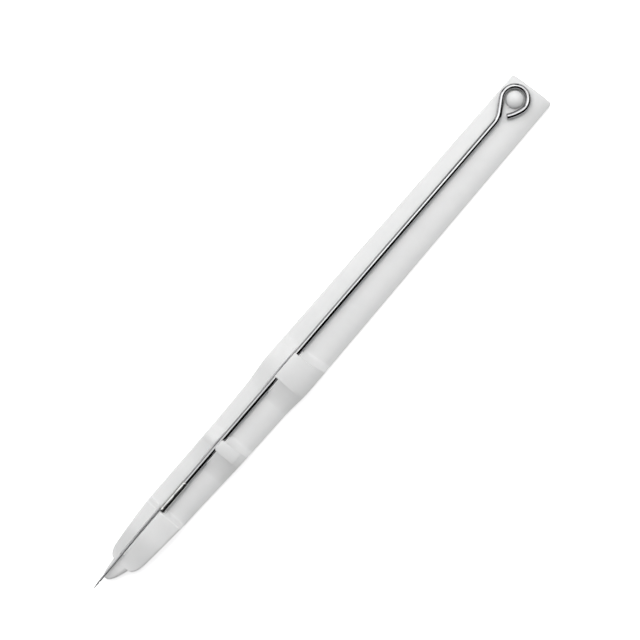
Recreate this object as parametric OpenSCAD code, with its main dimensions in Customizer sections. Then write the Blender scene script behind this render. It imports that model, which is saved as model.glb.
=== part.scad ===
// Needle threader in its moulded holder.
// +X runs along the tool from the needle's tip to the finger eye, +Y to the holder's left
// edge and +Z up. The origin is on the surface it lies on, under the middle of the whole.

/* [Overall] */
// Length from the needle's tip to the eye end of the holder
overall_l = 150; // [146:1:160]
// How far the wire lies from the holder's centre line, towards the left edge
wire_y = 1.45; // [1.2:0.05:1.65]

/* [Threader] */
// Diameter of the steel rod
rod_d = 1.4; // [1.2:0.05:1.5]
// Radius of the finger eye, to the middle of the rod
eye_r = 3.0; // [2.9:0.05:3.1]
// Angle at which the neck leaves the rod
neck_a = 32; // [28:1:36]
// Radius of the bend at the neck, to the middle of the rod
neck_r = 5; // [1.5:0.1:6]
// Length of the sleeve that joins the rod to the needle
ferrule_l = 8.4; // [7:0.1:10]
// Diameter of the sleeve
ferrule_d = 1.7; // [1.6:0.05:1.8]
// Diameter of the needle
needle_d = 0.5; // [0.4:0.05:0.55]
// Length of the needle's tapering point
point_l = 2.6; // [2:0.1:4]
// How far the needle leaves the sleeve off the rod's axis
needle_y = 0.5; // [0.3:0.05:0.5]
// Radius of the needle's gentle bow
bow_r = 900; // [600:50:1500]

/* [Holder] */
// Height of the floor that the rod lies on
floor_h = 3.0; // [2.8:0.1:3.4]
// How far the clips stand above the floor
clip_rise = 2.3; // [2.25:0.05:2.6]
// How far the left lips stand above the floor
lip_rise = 1.1; // [1:0.1:1.6]
// Wall thickness of the moulding
wall = 0.8; // [0.7:0.05:0.85]
// Radius of the crown across the moulding's back
crown_r = 30; // [24:1:60]
// Radius of the long right-hand shoulder
shoulder_r = 8; // [6:0.5:10]
// Radius of the left-hand edge
left_edge_r = 0.5; // [0.4:0.05:0.8]
// How far the nose guard leans towards the left of the centre line
nose_lean = 0.5; // [0:0.05:0.5]
// Width at the back of the nose guard
nose_back_w = 10; // [9.6:0.1:10.4]
// Width just before the middle clip
waist_w = 11.2; // [10.8:0.1:11.6]
// Greatest width, at the middle clip
clip_w = 12.4; // [12:0.1:12.8]
// Width at the eye end
eye_end_w = 10.9; // [10.4:0.1:11.4]
// Slant of the eye end, in degrees
eye_end_a = 3.6; // [0:0.1:5]

/* [Nose] */
// How far the needle's point stands out past the tongue
point_out = 3.3; // [2:0.1:4]
// Length of the tongue under the point
tongue_l = 4.7; // [4:0.1:5.5]
// Length of the nose guard over the needle
nose_l = 16; // [14:0.5:17]
// Height of the nose guard
nose_h = 4.6; // [4.4:0.1:4.9]
// Width of the slit that the needle shows through
slit_w = 0.8; // [0.7:0.05:0.9]

/* [Clips] */
// Length of the middle clip, along the rod
middle_clip_l = 7.0; // [5:0.5:8]
// Length of the lower clip, along the rod
lower_clip_l = 3.0; // [2.5:0.5:4]
// Distance from the needle's tip to the middle of the middle clip
middle_clip_at = 66.2; // [64:0.1:70]
// Distance from the needle's tip to the middle of the lower clip
lower_clip_at = 42.9; // [41:0.1:45]
// How far a clip's root is from the holder's centre line
clip_root = 3.3; // [3:0.1:3.6]

/* [Peg] */
// Diameter of the peg that the finger eye hooks over
peg_d = 3.9; // [3.5:0.1:4]
// Height of the peg's rounded top above the floor
peg_h = 2.0; // [1.6:0.1:2.2]

/* [Hidden] */
$fn = 48;

gap = 0.1;      // room between the threader and the walls beside it
rest_gap = 0.03; // room between the threader and the floor
seam = 0.08;    // room between a clip and the moulding that it flexes from
far = 20;       // a cut that runs right out of the part
eps = 0.01;

x_tip = -overall_l / 2;
x_end = overall_l / 2;
x_toe = x_tip + point_out;
x_nose = x_toe + tongue_l;
x_strip = x_nose + nose_l;
x_low = x_tip + lower_clip_at;
x_mid = x_tip + middle_clip_at;
x_eye = x_end - 5;

rod_r = rod_d / 2;
rod_z = floor_h + rod_r + rest_gap;
ferrule_x0 = x_strip - 0.9;          // the sleeve's mouth is just inside the nose guard
ferrule_x1 = ferrule_x0 + ferrule_l;
rod_in_ferrule = 3.6;
// the needle's gentle bow, from the sleeve's mouth to the start of the point
bow_l = ferrule_x0 - x_tip - point_l;
bow_a = asin(bow_l / bow_r);
// where the rod's line and the neck's line would meet
neck_x = x_eye - eye_r * sin(neck_a) - eye_r * cos(neck_a) / tan(neck_a);
lip_y = wire_y + rod_r + gap;        // the left lip's face beside the rod
right_y = wire_y - rod_r - gap;      // where the right-hand slopes stop beside the rod

ramp_front = 5.2;                    // length of the slope on a clip's needle side
ramp_back = 2.0;                     // length of the slope on a clip's eye side
nose_ramp = 1.3;                     // length of the slope behind the nose guard
nose_rise_l = 8;                     // length of the gentle rise at the nose guard's front
nose_edge_r = 0.6;                   // radius of the nose guard's right-hand edge
nose_edge_a = 55;                    // how far round each edge goes before it meets its wall,
left_edge_a = 80;                    // in degrees: the nose guard's right, every left,
right_edge_a = 27;                   // and the strip's right

steel = "silver";
dull_steel = "darkgray";
dark_steel = "dimgray";
moulding = "whitesmoke";

// ---------------------------------------------------------------- helpers

// 0 before a, 1 after b, and a smooth S between them
function smooth(x, a, b) = let (t = min(1, max(0, (x - a) / (b - a)))) t * t * (3 - 2 * t);

// n + 1 evenly spaced values from a to b
function steps(a, b, n) = [for (i = [0:n]) a + (b - a) * i / n];

// 1 over a clip of length l about x0, and falling to 0 down its hollow slopes
function hump(x, x0, l) =
    let (
        front = min(1, max(0, (x - x0 + l / 2 + ramp_front) / ramp_front)),
        back = min(1, max(0, (x0 + l / 2 + ramp_back - x) / ramp_back)))
    pow(front, 1.4) * pow(back, 1.6);

// Height of the moulding's back where its humps rise by rise
function back_h(x, rise) =
    floor_h + rise * (hump(x, x_low, lower_clip_l) + hump(x, x_mid, middle_clip_l))
    + (nose_h - floor_h) * (1 - smooth(x, x_strip - nose_ramp, x_strip))
    * sin(90 * min(1, max(0, (x - x_nose) / nose_rise_l)));

// Half the moulding's width
function half_w(x) =
    x < x_strip ? nose_half_w(x)
    : x < x_mid ? nose_back_w / 2
        + (waist_w - nose_back_w) / 2 * (x - x_strip) / (x_mid - 10 - x_strip)
        + (clip_w - waist_w) / 2 * smooth(x, x_mid - 10, x_mid - 1)
        - (waist_w - nose_back_w) / 2 * max(0, x - x_mid + 10) / (x_mid - 10 - x_strip)
    : clip_w / 2 - (clip_w - eye_end_w) / 2 * (x - x_mid) / (x_end - x_mid);

// The nose guard widens from a rounded front to the strip's width
function nose_half_w(x) =
    let (t = (x - x_nose) / nose_l, corner = min(1, (x - x_nose) / 3))
    2.2 + 1.5 * sqrt(1 - pow(1 - corner, 2)) + (nose_back_w / 2 - 3.7) * pow(t, 0.8);

// How far the outline leans to the left at x
function lean(x) = nose_lean * (1 - smooth(x, x_strip - 5, x_strip + 25));

// Underside of the nose guard and tongue, which rises towards the toe
function base_z(x) = 1.6 * (1 - smooth(x, x_toe - 1, x_toe + 10));

// A side of the moulding as [half width, shoulder radius, angle at which it meets the wall],
// for the outside or for a skin inside it
function left_side(x, skin) = [half_w(x) + lean(x) - skin, max(left_edge_r - skin, 0.4), left_edge_a];
function right_side(x, skin) =
    let (r = x > x_strip ? shoulder_r : nose_edge_r)
    [half_w(x) - lean(x) - skin, max(r - skin, 0.4), x > x_strip ? right_edge_a : nose_edge_a];

// The middle of a side's shoulder and the angle at which it meets the crown
function shoulder(side, h, rc) =
    let (y = side[0] - side[1] * sin(side[2]), a = asin(y / (rc - side[1])))
    [y, h - rc + (rc - side[1]) * cos(a), a];

// Angles at which a section's crown is cut. Where its two sides differ in height, it steps
// from one to the other inside the way that the rod lies in
function crown_cuts(l_a, r_a, stepped, rc) =
    let (near = asin((right_y + 0.2) / rc), past = asin((lip_y - 0.2) / rc))
    stepped ? concat([for (i = [1:4]) -r_a + (near + r_a) * i / 4],
                     [for (i = [0:2]) past + (l_a - past) * i / 3])
            : [for (i = [1:7]) -r_a + (l_a + r_a) * i / 8];

// One cross-section: upright walls, shoulders and a crowned back, h high on its right and
// left_h on its left
function section(left, right, h, left_h, rc, base, n_shoulder = 5) =
    let (l = shoulder(left, left_h, rc), r = shoulder(right, h, rc))
    concat(
        [[-right[0], base]],
        [for (a = steps(right[2], r[2], n_shoulder)) [-r[0] - right[1] * sin(a), r[1] + right[1] * cos(a)]],
        [for (a = crown_cuts(l[2], r[2], h != left_h, rc))
            [rc * sin(a), (rc * sin(a) > wire_y ? left_h : h) - rc + rc * cos(a)]],
        [for (a = steps(l[2], left[2], n_shoulder)) [l[0] + left[1] * sin(a), l[1] + left[1] * cos(a)]],
        [[left[0], base]]);

// Puts a section's points in space at x, moved sideways and slanted
function placed(points, x, y = 0, slant = 0) =
    [for (p = points) [x - slant * (p[0] + y), p[0] + y, p[1]]];

// A closed solid through a list of rings that have equal numbers of points
module loft(rings) {
    n = len(rings[0]);
    last = (len(rings) - 1) * n;
    polyhedron(
        points = [for (ring = rings) each ring],
        faces = concat(
            [[for (j = [n - 1:-1:0]) j]],
            [for (i = [0:len(rings) - 2], j = [0:n - 1])
                let (k = (j + 1) % n) each [
                    [i * n + j, (i + 1) * n + k, (i + 1) * n + j],
                    [i * n + j, i * n + k, (i + 1) * n + k]]],
            [[for (j = [0:n - 1]) last + j]]));
}

// A round bar through [x, y, heading, radius] stops at the height of the rod
module tube(route, sides) {
    loft([for (p = route)
        [for (i = [1:sides]) let (a = 360 * i / sides)
            [p[0] + p[3] * cos(a) * sin(p[2]), p[1] - p[3] * cos(a) * cos(p[2]), rod_z + p[3] * sin(a)]]]);
}

// The moulding between two stations, grown inwards by skin: 0 for its outside, wall for its
// inside. Its humps rise by left_rise on the left of the rod
module moulded(stations, skin, slant = 0, left_rise = lip_rise) {
    loft([for (i = [0:len(stations) - 1])
        let (x = stations[i])
        placed(
            section(left_side(x, skin), right_side(x, skin),
                    back_h(x, clip_rise) - skin, back_h(x, left_rise) - skin, crown_r - skin,
                    skin > 0 ? -1 : base_z(x)),
            x, 0, i == len(stations) - 1 ? slant : 0)]);
}

// The slopes of a clip's hump, as stations
function hump_stations(x0, l) = concat(
    steps(x0 - l / 2 - ramp_front, x0 - l / 2, 6),
    steps(x0 + l / 2, x0 + l / 2 + ramp_back, 6));

// The strip as a shell that is open underneath and closed at its eye end
module strip_shell() {
    slant = tan(eye_end_a);
    inner_stations = concat([x_strip + 1, x_strip + 4, x_strip + 8], hump_stations(x_low, lower_clip_l),
                            [x_low + 10],
                            [x_mid - 10], hump_stations(x_mid, middle_clip_l));
    difference() {
        moulded(concat([x_strip], inner_stations, [x_end - eye_end_w / 2 * slant]), 0, slant);
        moulded(concat([x_strip - eps], inner_stations, [x_end - wall - eye_end_w / 2 * slant]),
                wall, slant);
    }
}

// A clip's outline seen from above: root at the right shoulder, free end over the rod
module clip_plan(x0, l, reach_y, corner_r, grow = 0) {
    x0_edge = x0 - l / 2 - grow;
    y0 = -clip_root - grow;
    size_y = reach_y - y0;
    translate([x0_edge, y0]) square([l + 2 * grow, size_y - corner_r]);
    if (corner_r > 0) {
        translate([x0_edge + corner_r, y0]) square([l + 2 * grow - 2 * corner_r, size_y]);
        for (x = [x0_edge + corner_r, x0_edge + l + 2 * grow - corner_r])
            translate([x, y0 + size_y - corner_r]) circle(r = corner_r);
    }
}

// A clip: the piece of the hump that reaches from the right shoulder over the rod
module clip(x0, l, reach_y, corner_r) {
    stations = hump_stations(x0, l);
    intersection() {
        difference() {
            moulded(stations, 0, 0, clip_rise);
            moulded(concat([stations[0] - eps], [for (i = [1:12]) stations[i]], [stations[13] + eps]),
                    wall, 0, clip_rise);
        }
        linear_extrude(far) clip_plan(x0, l, reach_y, corner_r);
    }
}

// ---------------------------------------------------------------- threader

// Straight steel rod, from inside the sleeve to the neck of the eye
module rod() {
    neck_back = neck_r * tan(neck_a / 2);
    x0 = ferrule_x1 - rod_in_ferrule;
    color(steel)
        translate([x0, wire_y, rod_z]) rotate([0, 90, 0])
            cylinder(r = rod_r, h = neck_x - neck_back - x0);
}

// Stops along an arc about c from one angle to another; back is 180 where it is followed backwards
function arc(c, r, from_a, to_a, n, back = 0) =
    [for (a = steps(from_a, to_a, n)) [c[0] + r * cos(a), c[1] + r * sin(a), a + 90 + back, rod_r]];

// The rod's end bent into an open finger eye, with its tail turned back to the neck
module finger_eye() {
    c = [x_eye, wire_y];
    neck_c = [neck_x - neck_r * tan(neck_a / 2), wire_y + neck_r];
    tail_from = 18; // how far past the bottom of the eye the tail begins to open out
    tail_to = 37.5;
    tail_r = 10.7;
    tail_c = c + (eye_r - tail_r) * [-sin(tail_from), -cos(tail_from)];
    // from the tail's end, round the eye and down the neck to the rod
    route = concat(
        arc(tail_c, tail_r, -90 - tail_to, -90 - tail_from, 6),
        [for (i = [1:40]) arc(c, eye_r, -90 - tail_from, 90 + neck_a, 40)[i]],
        arc(neck_c, neck_r, -90 + neck_a, -90, 8, 180));
    color(steel) tube(route, 20);
}

// Sleeve crimped over the rod's end, with the needle set into its mouth
module ferrule() {
    chamfer = 0.15;
    color(dull_steel)
        translate([ferrule_x0, wire_y, rod_z]) rotate([0, 90, 0])
            difference() {
                union() {
                    cylinder(r1 = ferrule_d / 2 - chamfer, r2 = ferrule_d / 2, h = chamfer);
                    translate([0, 0, chamfer]) cylinder(r = ferrule_d / 2, h = ferrule_l - 2 * chamfer);
                    translate([0, 0, ferrule_l - chamfer])
                        cylinder(r1 = ferrule_d / 2, r2 = ferrule_d / 2 - chamfer / 2, h = chamfer);
                }
                translate([0, 0, ferrule_l - rod_in_ferrule]) cylinder(r = rod_r, h = far);
                translate([0, needle_y, -eps])
                    cylinder(r = needle_d / 2, h = ferrule_l - rod_in_ferrule + eps);
            }
}

// Fine needle that leaves the sleeve and curves back to the rod's axis, with a hook near its point
module hook_needle() {
    root_y = wire_y + needle_y;
    point_y = root_y - bow_r * (1 - cos(bow_a));
    tip_r = 0.04;
    hook_at = 1.9;    // the hook's floor, back from the tip
    hook_left = 0.06; // steel left beside the hook, past the needle's middle
    hook_w = 0.16;
    hook_a = 40;
    // from the root in the sleeve, along the bow, then straight to the tip: x, y, heading, radius
    route = concat(
        [[ferrule_x1 - rod_in_ferrule, root_y, 180, needle_d / 2]],
        [for (a = steps(0, bow_a, 16))
            [ferrule_x0 - bow_r * sin(a), root_y - bow_r * (1 - cos(a)), 180 + a, needle_d / 2]],
        [for (t = steps(0.25, 1, 3))
            [ferrule_x0 - bow_l - t * point_l * cos(bow_a), point_y - t * point_l * sin(bow_a),
             180 + bow_a, needle_d / 2 - (needle_d / 2 - tip_r) * pow(t, 1.4)]]);
    color(dark_steel)
        difference() {
            tube(route, 16);
            // the hook opens backwards, so that a thread pulled towards the tip stays in it
            translate([x_tip + hook_at, point_y - hook_left, rod_z - needle_d]) rotate([0, 0, -hook_a])
                translate([0, -hook_w / 2, 0]) cube([1, hook_w, 2 * needle_d]);
        }
}

// ---------------------------------------------------------------- holder

// Long moulded strip: floors for the rod, and humps that carry the clips and the left lip
module holder_strip() {
    color(moulding)
        difference() {
            strip_shell();
            // the way that the rod lies in, and lifts out of, through the humps
            translate([x_strip - eps, right_y, floor_h])
                cube([x_eye - x_strip, lip_y - right_y, far]);
            // windows that the clips fill
            for (c = [[x_mid, middle_clip_l], [x_low, lower_clip_l]])
                translate([0, 0, floor_h]) linear_extrude(far)
                    clip_plan(c[0], c[1], lip_y - eps, 0, seam);
            // bed for the sleeve, which is a little thicker than the rod
            translate([x_strip - eps, wire_y, rod_z]) rotate([0, 90, 0])
                cylinder(r = ferrule_d / 2 + seam, h = ferrule_x1 - x_strip + gap + eps);
            // seat of the peg
            translate([x_eye, wire_y, 0]) cylinder(r = peg_d / 2, h = far);
        }
}

// Raised guard over the needle, slit along the top
module nose_guard() {
    stations = concat(
        [x_nose], [for (t = [0.15, 0.35, 0.6, 1, 1.5, 2.2]) x_nose + t],
        steps(x_nose + 3, x_strip - nose_ramp, 7),
        [for (i = [1:5]) x_strip - nose_ramp + nose_ramp * i / 5]);
    slit_a = asin((ferrule_x0 - x_nose) / (2 * bow_r)); // follows the needle's bow
    color(moulding)
        difference() {
            moulded(stations, 0);
            moulded(concat([for (i = [4:len(stations) - 2]) stations[i]], [x_strip + eps]), wall);
            // slit for the needle, open to the front and above
            translate([ferrule_x0 + 1, wire_y + needle_y, rod_z - needle_d / 2 - gap])
                rotate([0, 0, 180 + slit_a])
                    translate([0, -slit_w / 2, 0]) cube([nose_l + 2, slit_w, far]);
            // room for the sleeve's mouth
            translate([ferrule_x0 - gap, wire_y, rod_z]) rotate([0, 90, 0])
                cylinder(r = ferrule_d / 2 + seam, h = far);
            translate([ferrule_x0 - gap, wire_y - ferrule_d / 2 - seam, rod_z])
                cube([far, ferrule_d + 2 * seam, far]);
        }
}

// Rounded tongue under the needle's point
module tip_tongue() {
    toe_y = 1.05;
    root_right = 1.6;
    root_left = 2.75;
    color(moulding)
        loft([for (t = [0.02, 0.06, 0.13, 0.22, 0.35, 0.5, 0.65, 0.8, 1])
            let (
                right = toe_y - (toe_y + root_right) * sqrt(t),
                left = toe_y + (root_left - toe_y) * pow(t, 0.2),
                w = (left - right) / 2,
                x = x_toe + tongue_l * t,
                h = floor_h - 0.6 * pow(1 - t, 2),
                side = [w, 0.5 * w, 90])
            placed(section(side, side, h, h, crown_r, base_z(x)), x, (left + right) / 2)]);
}

// Domed peg that holds the finger eye
module eye_peg() {
    r = peg_d / 2;
    dome_h = 0.55 * peg_h;
    dome_r = (r * r + dome_h * dome_h) / (2 * dome_h);
    color(moulding)
        translate([x_eye, wire_y, 0]) {
            translate([0, 0, floor_h - wall])
                cylinder(r = r, h = wall + peg_h - dome_h);
            translate([0, 0, floor_h + peg_h - dome_h])
                intersection() {
                    cylinder(r = r, h = dome_h);
                    translate([0, 0, dome_h - dome_r]) sphere(r = dome_r, $fn = 96);
                }
        }
}

// Long clip over the rod at the middle of the tool
module middle_clip() {
    color(moulding) clip(x_mid, middle_clip_l, wire_y + 0.4, 0);
}

// Short clip over the rod nearer the needle, with rounded corners
module lower_clip() {
    color(moulding) clip(x_low, lower_clip_l, wire_y, 0.7);
}

rod();
finger_eye();
ferrule();
hook_needle();
holder_strip();
nose_guard();
tip_tongue();
eye_peg();
middle_clip();
lower_clip();
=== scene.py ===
import logging
import math
from dataclasses import dataclass, field
from enum import Enum
from typing import Callable, Protocol

import bpy
from mathutils import Matrix, Vector


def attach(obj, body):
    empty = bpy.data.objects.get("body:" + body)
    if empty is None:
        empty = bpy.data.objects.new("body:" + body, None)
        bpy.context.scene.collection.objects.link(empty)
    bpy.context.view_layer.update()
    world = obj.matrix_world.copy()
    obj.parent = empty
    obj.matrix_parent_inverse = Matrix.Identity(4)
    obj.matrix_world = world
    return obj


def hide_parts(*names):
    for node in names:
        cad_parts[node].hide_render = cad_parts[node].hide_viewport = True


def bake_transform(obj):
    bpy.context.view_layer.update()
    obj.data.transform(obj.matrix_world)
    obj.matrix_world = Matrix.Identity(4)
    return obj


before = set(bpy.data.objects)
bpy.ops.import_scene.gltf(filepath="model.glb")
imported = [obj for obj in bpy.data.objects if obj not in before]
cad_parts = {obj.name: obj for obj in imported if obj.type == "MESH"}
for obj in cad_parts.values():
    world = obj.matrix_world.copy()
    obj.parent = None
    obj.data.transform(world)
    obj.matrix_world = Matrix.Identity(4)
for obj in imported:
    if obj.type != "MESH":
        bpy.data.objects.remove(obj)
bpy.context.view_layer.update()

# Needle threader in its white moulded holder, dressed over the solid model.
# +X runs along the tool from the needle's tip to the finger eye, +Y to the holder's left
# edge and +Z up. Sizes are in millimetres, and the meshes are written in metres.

MM = 0.001
LOG = logging.getLogger("needle_threader")

Point = tuple[float, float, float]
Pair = tuple[float, float]
Stop = tuple[float, float, float, float]
Face = tuple[int, ...]
Colour = tuple[float, float, float]
Piece = bpy.types.Object
Socket = bpy.types.NodeSocket


class Body(str, Enum):
    """The bodies of the motion model that the pieces ride on."""

    HOLDER = "holder"
    THREADER = "threader"
    MIDDLE_CLIP = "middle_clip"
    LOWER_CLIP = "lower_clip"


class Slot(str, Enum):
    """The record's material slots."""

    MOULDING = "white_moulding"
    POLISHED = "polished_steel"
    DULL = "dull_steel"
    DARK = "dark_steel"


# ------------------------------------------------------------------ small sums


def smooth(x: float, a: float, b: float) -> float:
    """Rise as a smooth S from 0 at a to 1 at b.

    Args:
        x: Where to measure.
        a: Where the rise starts.
        b: Where the rise ends.

    Returns:
        A value from 0 to 1.
    """
    t = min(1.0, max(0.0, (x - a) / (b - a)))
    return t * t * (3 - 2 * t)


def steps(a: float, b: float, n: int) -> list[float]:
    """Return n + 1 evenly spaced values from a to b."""
    return [a + (b - a) * i / n for i in range(n + 1)]


def rounded(d: float, r: float) -> float:
    """Say how far a rounded edge has fallen away.

    Args:
        d: Distance in from the edge.
        r: Radius of the rounding.

    Returns:
        r at the edge itself, and 0 from r inwards.
    """
    if d >= r or r <= 0:
        return 0.0
    return r - math.sqrt(max(0.0, r * r - (r - max(d, 0.0)) ** 2))


def ordered(values: list[float], least: float = 0.004) -> list[float]:
    """Sort values and drop those that nearly repeat.

    Args:
        values: The values in any order.
        least: The smallest step that is kept.

    Returns:
        The values from low to high.
    """
    kept: list[float] = []
    for v in sorted(values):
        if not kept or v - kept[-1] > least:
            kept.append(v)
    return kept


EDGE_STEPS = (0.0, 0.05, 0.2, 0.5, 1.0)  # shares of a radius at which a rounded edge is cut
SHARP_EDGE = 38.0  # degrees above which an edge is shaded sharp
WIRE_EDGE = 50.0  # the same on round wire


# ------------------------------------------------------------------ meshes


@dataclass
class Shape:
    """Points and faces of a piece, before they become a mesh."""

    points: list[Point]
    faces: list[Face]
    uv: list[Pair] = field(default_factory=list)

    def piece(self, name: str, sharp: float = SHARP_EDGE) -> Piece:
        """Write the shape as a smooth-shaded object in metres.

        Args:
            name: The piece's name.
            sharp: Angle in degrees above which an edge is shaded sharp.

        Returns:
            The new object.
        """
        mesh = bpy.data.meshes.new(name)
        mesh.from_pydata([tuple(c * MM for c in p) for p in self.points], [], self.faces)
        if self.uv:
            layer = mesh.uv_layers.new(name="along")
            layer.data.foreach_set("uv", [c for pair in self.uv for c in pair])
        mesh.polygons.foreach_set("use_smooth", [True] * len(mesh.polygons))
        mesh.set_sharp_from_angle(angle=math.radians(sharp))
        mesh.update()
        made = bpy.data.objects.new(name, mesh)
        bpy.context.scene.collection.objects.link(made)
        weighted = made.modifiers.new("even_shading", "WEIGHTED_NORMAL")
        weighted.keep_sharp = True
        weighted.weight = 60
        return made


def walled(
    outer: list[list[Point]],
    inner: list[list[Point]],
    is_open: Callable[[int, int], bool],
    first_end: bool,
    last_end: bool,
) -> Shape:
    """Close an outer and an inner skin into one wall, with a rim round every opening.

    Args:
        outer: Rows of points on the outer skin, along +X, each from left to right.
        inner: The same rows on the inner skin.
        is_open: Says of a row and a column whether the cell there is left open.
        first_end: Whether the first row is closed by an end wall.
        last_end: Whether the last row is closed by an end wall.

    Returns:
        A closed shape.
    """
    across = len(outer[0])
    count = len(outer) * across
    sheet: list[Face] = []
    for i in range(len(outer) - 1):
        for j in range(across - 1):
            if not is_open(i, j):
                a = i * across + j
                sheet.append((a, a + 1, a + across + 1, a + across))
    if first_end:
        sheet.append(tuple(range(across - 1, -1, -1)))
    if last_end:
        sheet.append(tuple(range(count - across, count)))
    sides = {(f[k], f[(k + 1) % len(f)]) for f in sheet for k in range(len(f))}
    rims = [(b, a, a + count, b + count) for a, b in sorted(sides) if (b, a) not in sides]
    back = [tuple(v + count for v in reversed(f)) for f in sheet]
    used = sorted({v for f in sheet for v in f})
    place = {v: n for n, v in enumerate([*used, *[v + count for v in used]])}
    flat = [p for row in outer for p in row] + [p for row in inner for p in row]
    points = [flat[v] for v in used] + [flat[v + count] for v in used]
    faces = [tuple(place[v] for v in f) for f in [*sheet, *back, *rims]]
    return Shape(points, faces)


def lofted(rings: list[list[Point]], lengths: list[float]) -> Shape:
    """Join closed rings into a bar with flat ends.

    Args:
        rings: Equal rings, each clockwise as seen along the bar.
        lengths: How far along the bar each ring is.

    Returns:
        A closed shape with a map of (distance along, share of the way round).
    """
    n = len(rings[0])
    faces: list[Face] = []
    uv: list[Pair] = []
    for i in range(len(rings) - 1):
        for j in range(n):
            k = (j + 1) % n
            faces.append((i * n + j, (i + 1) * n + j, (i + 1) * n + k, i * n + k))
            u0, u1, v0, v1 = lengths[i], lengths[i + 1], j / n, (j + 1) / n
            uv += [(u0, v0), (u1, v0), (u1, v1), (u0, v1)]
    last = (len(rings) - 1) * n
    faces += [tuple(range(n)), tuple(last + j for j in range(n - 1, -1, -1))]
    uv += [(lengths[0], j / n) for j in range(n)]
    uv += [(lengths[-1], j / n) for j in range(n - 1, -1, -1)]
    return Shape([p for ring in rings for p in ring], faces, uv)


def swept(route: list[Stop], z: float, sides: int) -> Shape:
    """Make a round bar that lies level.

    Args:
        route: Stops along the bar as x, y, heading in degrees and radius.
        z: Height of the bar's middle.
        sides: Number of sides to the bar.

    Returns:
        A closed shape, whose map's seam is along the bar's underside.
    """
    rings: list[list[Point]] = []
    lengths: list[float] = []
    turns = [-math.pi / 2 + 2 * math.pi * j / sides for j in range(sides)]
    length, before = 0.0, route[0]
    for stop in route:
        x, y, heading, r = stop
        length += math.hypot(x - before[0], y - before[1])
        before = stop
        sx, sy = math.sin(math.radians(heading)), -math.cos(math.radians(heading))
        across = [(r * math.cos(a), z + r * math.sin(a)) for a in turns]
        rings.append([(x + off * sx, y + off * sy, height) for off, height in across])
        lengths.append(length)
    return lofted(rings, lengths)


def turned(profile: list[Pair], place: Callable[[float, float, float], Point], sides: int) -> Shape:
    """Turn a profile about its axis, as on a lathe.

    Args:
        profile: Stops as distance along the axis and radius, from end to end.
        place: Gives the point for a distance along, and two distances across.
        sides: Number of sides.

    Returns:
        A closed shape.
    """
    turns = [-math.pi / 2 - 2 * math.pi * j / sides for j in range(sides)]
    rings = [[place(along, r * math.cos(a), r * math.sin(a)) for a in turns] for along, r in profile]
    lengths = [0.0]
    for a, b in zip(profile, profile[1:]):
        lengths.append(lengths[-1] + math.dist(a, b))
    return lofted(rings, lengths)


def cut(piece: Piece, tool: Piece) -> None:
    """Cut one piece with another, and throw the cutter away.

    Args:
        piece: The piece that is cut.
        tool: The cutter.
    """
    change = piece.modifiers.new("cut", "BOOLEAN")
    change.operation = "DIFFERENCE"
    change.solver = "EXACT"
    change.object = tool
    piece.modifiers.move(len(piece.modifiers) - 1, 0)
    graph = bpy.context.evaluated_depsgraph_get()
    mesh = bpy.data.meshes.new_from_object(piece.evaluated_get(graph))
    piece.modifiers.clear()
    piece.data = mesh
    mesh.set_sharp_from_angle(angle=math.radians(SHARP_EDGE))
    bpy.data.objects.remove(tool, do_unlink=True)


# ------------------------------------------------------------------ finishes


class Finish(Protocol):
    """What every finish can do."""

    def material(self) -> bpy.types.Material:
        """Return the finish as a material."""


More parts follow.
